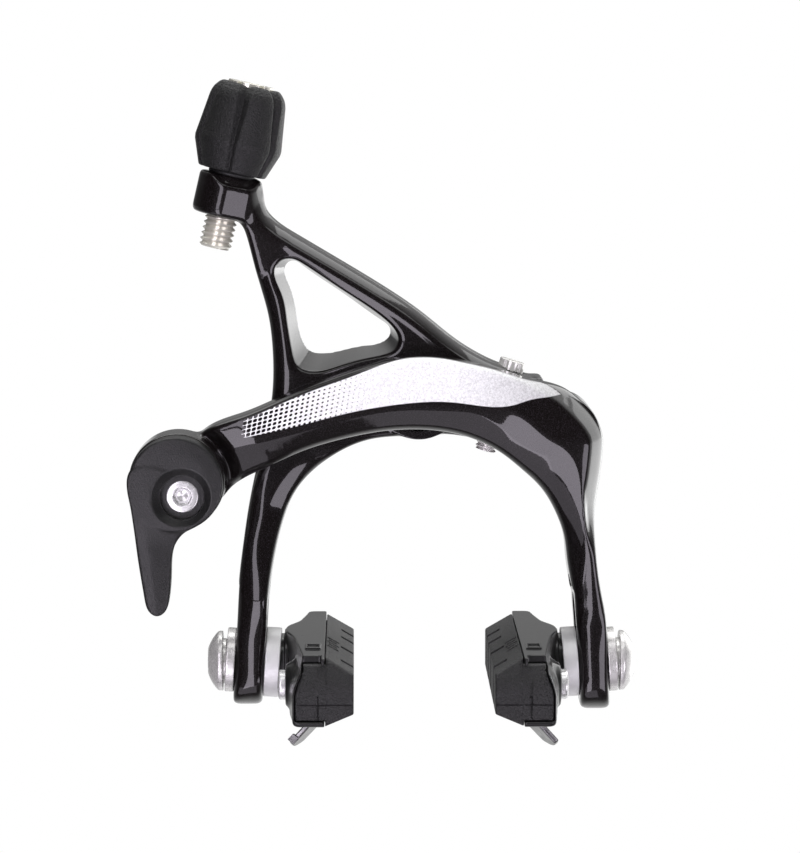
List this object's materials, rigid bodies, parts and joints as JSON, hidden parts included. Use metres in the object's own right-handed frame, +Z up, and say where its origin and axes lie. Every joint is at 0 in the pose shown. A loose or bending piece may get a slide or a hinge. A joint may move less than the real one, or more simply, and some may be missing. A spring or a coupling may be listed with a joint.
{
  "type": "rim brake caliper",
  "caption": "Dual-pivot road rim brake caliper with cable quick release, barrel adjuster and cartridge pads; its arms squeeze a wheel rim when the cable is pulled.",
  "frame": {"origin": "on the mounting bolt's axis, in the knurled washer's face that meets the fork crown", "axes": "+Y along the mounting bolt, back into the fork; +X to the right seen from the front; +Z up"},
  "size_m": [0.0902, 0.078, 0.1175],
  "materials": {
    "arm_paint": "gloss",
    "band_paint": "satin",
    "black_plastic": "matte",
    "holder_paint": "gloss",
    "pad_rubber": "matte",
    "satin_alloy": "satin",
    "polished_alloy": "polished",
    "bright_steel": "polished",
    "plated_steel": "satin",
    "spring_wire": "satin",
    "slip_plastic": "satin",
    "seal_rubber": "matte"
  },
  "bodies": {
    "mount": {"mounting_bolt": "plated_steel", "mounting_washer": "satin_alloy", "pivot_bracket": "satin_alloy", "spacer_sleeve": "satin_alloy", "centre_bushing": "slip_plastic", "side_pivot_bushing": "slip_plastic", "thrust_washers": "slip_plastic", "return_spring": "spring_wire"},
    "rear_arm": {"rear_arm": "arm_paint", "spring_slider": "slip_plastic"},
    "centring_screw": {"centring_screw": "plated_steel"},
    "adjuster_travel": {"adjuster_o_ring": "seal_rubber"},
    "adjuster": {"adjuster_knob": "black_plastic", "adjuster_barrel": "satin_alloy"},
    "front_arm": {"front_arm": "arm_paint", "link_pin": "plated_steel", "side_pivot_bolt": "plated_steel", "qr_detent_washer": "plated_steel"},
    "link_roller": {"link_roller": "plated_steel"},
    "quick_release": {"qr_lever": "black_plastic", "qr_cam_hub": "satin_alloy", "qr_snap_ring": "plated_steel"},
    "cable_anchor": {"cable_anchor_bolt": "plated_steel", "cable_anchor_plate": "satin_alloy", "cable_clamp_washer": "plated_steel", "cable_anchor_nut": "plated_steel"},
    "left_seat": {"left_inner_washer": "satin_alloy", "left_outer_washer": "satin_alloy"},
    "left_shoe": {"left_ball_washer": "satin_alloy", "left_shoe_bolt": "bright_steel", "left_holder": "holder_paint", "left_pad": "pad_rubber", "left_pad_screw": "bright_steel", "left_wheel_guide": "polished_alloy"},
    "right_seat": {"right_inner_washer": "satin_alloy", "right_outer_washer": "satin_alloy"},
    "right_shoe": {"right_ball_washer": "satin_alloy", "right_shoe_bolt": "bright_steel", "right_holder": "holder_paint", "right_pad": "pad_rubber", "right_pad_screw": "bright_steel", "right_wheel_guide": "polished_alloy"}
  },
  "joints": [
    {"name": "rear_arm_pivot", "type": "hinge", "parent": "mount", "child": "rear_arm", "pos_m": [0, 0, 0], "axis": [0, -1, 0], "range_deg": [0, 12], "stiffness_Nm_per_rad": 0.6, "springref_deg": -17.19, "deforming": ["return_spring"]},
    {"name": "front_arm_pivot", "type": "hinge", "parent": "mount", "child": "front_arm", "pos_m": [0.026, 0, -0.006], "axis": [0, 1, 0], "range_deg": [0, 12]},
    {"name": "link_roller_spin", "type": "hinge", "parent": "front_arm", "child": "link_roller", "pos_m": [0.013, -0.019, -0.003], "axis": [0, 1, 0], "continuous": true},
    {"name": "centring_screw_turn", "type": "hinge", "parent": "rear_arm", "child": "centring_screw", "pos_m": [0.0167, -0.015, 0.0047], "axis": [0.2957, 0, 0.9553], "range_deg": [-180, 180]},
    {"name": "adjuster_turn", "type": "hinge", "parent": "adjuster_travel", "child": "adjuster", "pos_m": [-0.0356, -0.017, 0.0327], "axis": [0.225, 0, 0.9744], "range_deg": [0, 1801]},
    {"name": "adjuster_rise", "type": "slide", "parent": "rear_arm", "child": "adjuster_travel", "axis": [0.225, 0, 0.9744], "range_m": [0, 0.005]},
    {"name": "quick_release_turn", "type": "hinge", "parent": "front_arm", "child": "quick_release", "pos_m": [-0.0434, 0, -0.014], "axis": [0, 1, 0], "range_deg": [0, 170]},
    {"name": "anchor_swivel", "type": "hinge", "parent": "quick_release", "child": "cable_anchor", "pos_m": [-0.0423, 0, -0.0164], "axis": [0, 1, 0], "range_deg": [-171, 0]},
    {"name": "left_shoe_height", "type": "slide", "parent": "rear_arm", "child": "left_seat", "axis": [0.061, 0, 0.9981], "range_m": [-0.0006, 0.0093]},
    {"name": "left_shoe_tilt", "type": "hinge", "parent": "left_seat", "child": "left_shoe", "pos_m": [-0.0312, -0.018, -0.04835], "axis": [1, 0, 0], "range_deg": [-20, 20]},
    {"name": "right_shoe_height", "type": "slide", "parent": "front_arm", "child": "right_seat", "axis": [-0.061, 0, 0.9981], "range_m": [-0.0006, 0.0093]},
    {"name": "right_shoe_tilt", "type": "hinge", "parent": "right_seat", "child": "right_shoe", "pos_m": [0.0312, -0.018, -0.04835], "axis": [1, 0, 0], "range_deg": [-20, 20]}
  ],
  "couplings": [
    {"joint": "rear_arm_pivot", "follows": "front_arm_pivot", "ratio": 1},
    {"joint": "adjuster_turn", "follows": "adjuster_rise", "rad_per_m": 6283.2},
    {"joint": "anchor_swivel", "follows": "quick_release_turn", "ratio": -1}
  ]
}
